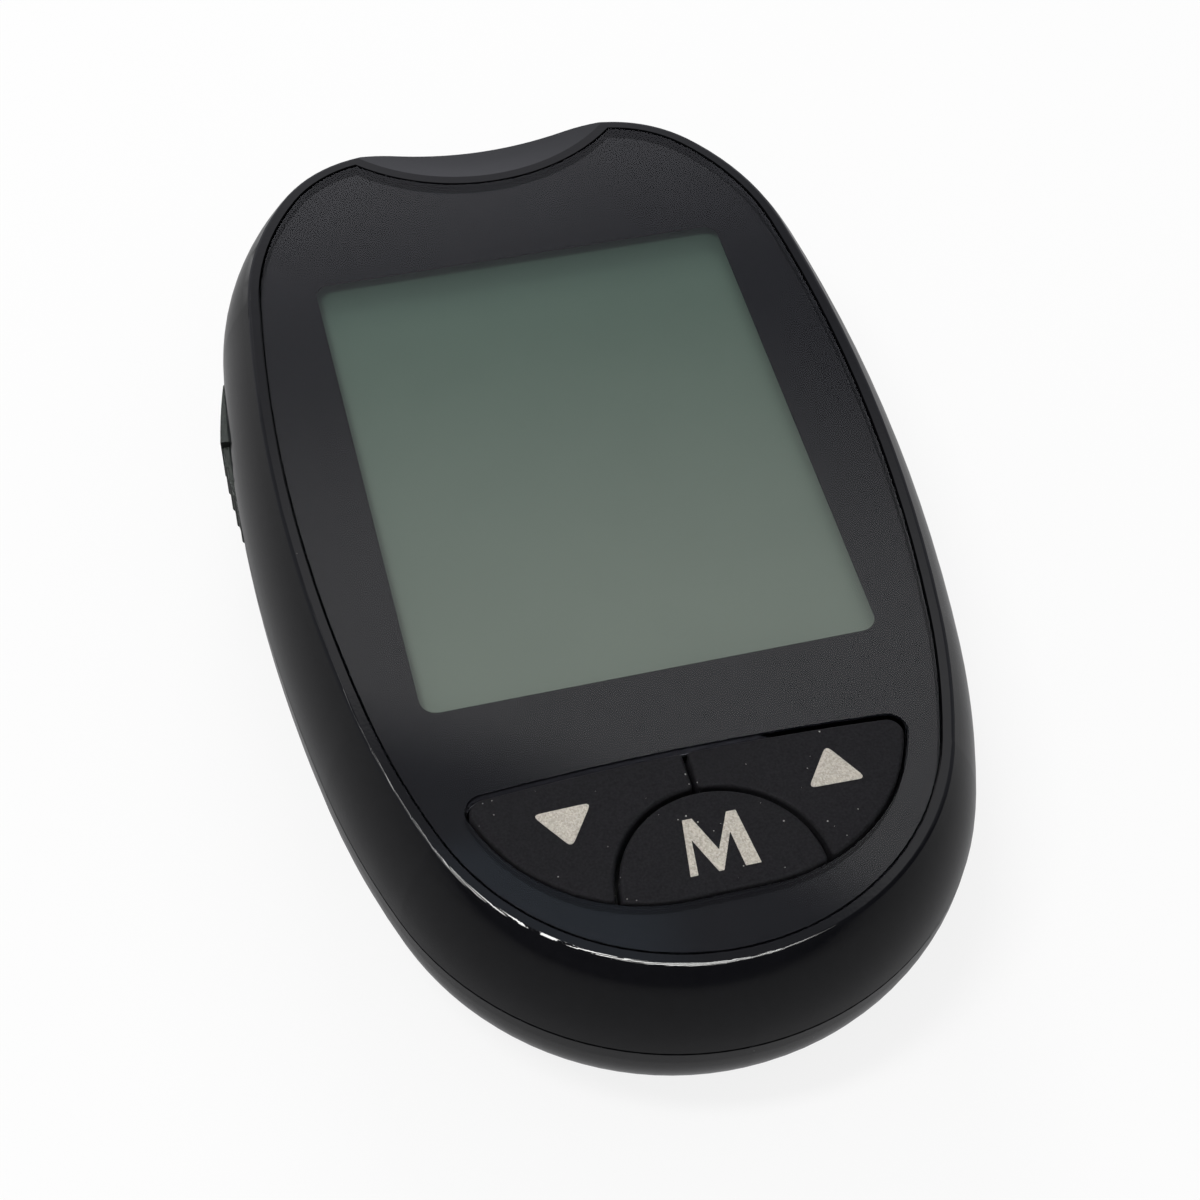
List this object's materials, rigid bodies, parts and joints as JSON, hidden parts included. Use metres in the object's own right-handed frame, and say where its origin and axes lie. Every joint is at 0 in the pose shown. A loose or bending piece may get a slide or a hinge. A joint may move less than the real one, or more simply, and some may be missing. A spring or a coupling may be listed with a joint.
{
  "type": "blood glucose meter",
  "caption": "Palm-sized blood glucose meter: waisted glossy case, window over a display, arched keypad, test strip slot, side strip ejector and battery cover at the back.",
  "frame": {"origin": "on the flat of the back, on the middle plane of the case, halfway along its length", "axes": "+Z out of the display, +Y along the case towards the strip slot, +X to the right with the display facing the reader"},
  "size_m": [0.0552, 0.0898, 0.018],
  "materials": {
    "case_gloss": "glossy black",
    "back_gloss": "glossy black",
    "cover_gloss": "glossy black",
    "clear_panel": "clear hard-coated acrylic",
    "panel_black": "black screen print",
    "tape_black": "black foam tape",
    "display_film": "grey-green display film",
    "display_glass": "thin display glass",
    "reflector_foil": "satin reflecting film",
    "holder_white": "white moulded plastic",
    "striped_rubber": "grey striped rubber",
    "key_black": "fine matt black",
    "mat_rubber": "soft black rubber",
    "dome_steel": "polished spring steel",
    "board_green": "green circuit board",
    "chip_black": "black chip body",
    "can_steel": "drawn metal can",
    "sounder_black": "black moulded plastic",
    "lamp_white": "white lamp body",
    "switch_black": "black switch body",
    "button_grey": "grey moulded plastic",
    "port_black": "glossy black",
    "connector_ivory": "ivory moulded plastic",
    "contact_gold": "gold-plated spring brass",
    "ejector_grey": "grey-green matt plastic",
    "carriage_grey": "grey moulded plastic",
    "spring_steel": "drawn spring wire",
    "cell_jacket": "plain printed cell jacket",
    "contact_nickel": "nickel-plated spring steel",
    "screw_steel": "zinc-plated steel"
  },
  "bodies": {
    "case": {"front_case": "case_gloss", "rear_case": "back_gloss", "display_lens": "clear_panel", "lens_print": "panel_black", "lens_tape": "tape_black", "lcd_polariser": "display_film", "lcd_front_glass": "display_glass", "lcd_rear_glass": "display_glass", "lcd_reflector": "reflector_foil", "lcd_holder": "holder_white", "elastomer_strip": "striped_rubber", "keypad_mat": "mat_rubber", "dome_switches": "dome_steel", "main_board": "board_green", "microcontroller": "chip_black", "radio_module": "can_steel", "buzzer": "sounder_black", "crystal": "can_steel", "port_light": "lamp_white", "set_switch": "switch_black", "strip_port": "port_black", "strip_connector": "connector_ivory", "connector_contacts": "contact_gold", "ejector_spring": "spring_steel", "battery_left": "cell_jacket", "battery_right": "cell_jacket", "negative_contact": "contact_nickel", "positive_contact": "contact_nickel", "bridge_contact": "contact_nickel", "case_screws": "screw_steel"},
    "key_down": {"key_down": "key_black"},
    "key_mode": {"key_mode": "key_black"},
    "key_up": {"key_up": "key_black"},
    "set_button": {"set_button": "button_grey"},
    "battery_cover": {"battery_cover": "cover_gloss"},
    "ejector": {"ejector_slider": "ejector_grey", "ejector_carriage": "carriage_grey"}
  },
  "joints": [
    {"name": "key_down_press", "type": "slide", "parent": "case", "child": "key_down", "axis": [0, 0, -1], "range_m": [0, 0.0006], "stiffness_N_per_m": 1500, "springref_m": -0.0005},
    {"name": "key_mode_press", "type": "slide", "parent": "case", "child": "key_mode", "axis": [0, 0, -1], "range_m": [0, 0.0006], "stiffness_N_per_m": 1500, "springref_m": -0.0005},
    {"name": "key_up_press", "type": "slide", "parent": "case", "child": "key_up", "axis": [0, 0, -1], "range_m": [0, 0.0006], "stiffness_N_per_m": 1500, "springref_m": -0.0005},
    {"name": "set_button_press", "type": "slide", "parent": "case", "child": "set_button", "axis": [0, 0, 1], "range_m": [0, 0.0003], "stiffness_N_per_m": 2000, "springref_m": -0.0003},
    {"name": "ejector_slide", "type": "slide", "parent": "case", "child": "ejector", "axis": [0, 1, 0], "range_m": [0, 0.005], "stiffness_N_per_m": 150, "springref_m": -0.003, "deforming": ["ejector_spring"]},
    {"name": "cover_hinge", "type": "hinge", "parent": "case", "child": "battery_cover", "pos_m": [0, 0.02295, 0.0001], "axis": [1, 0, 0], "range_deg": [0, 75]}
  ]
}
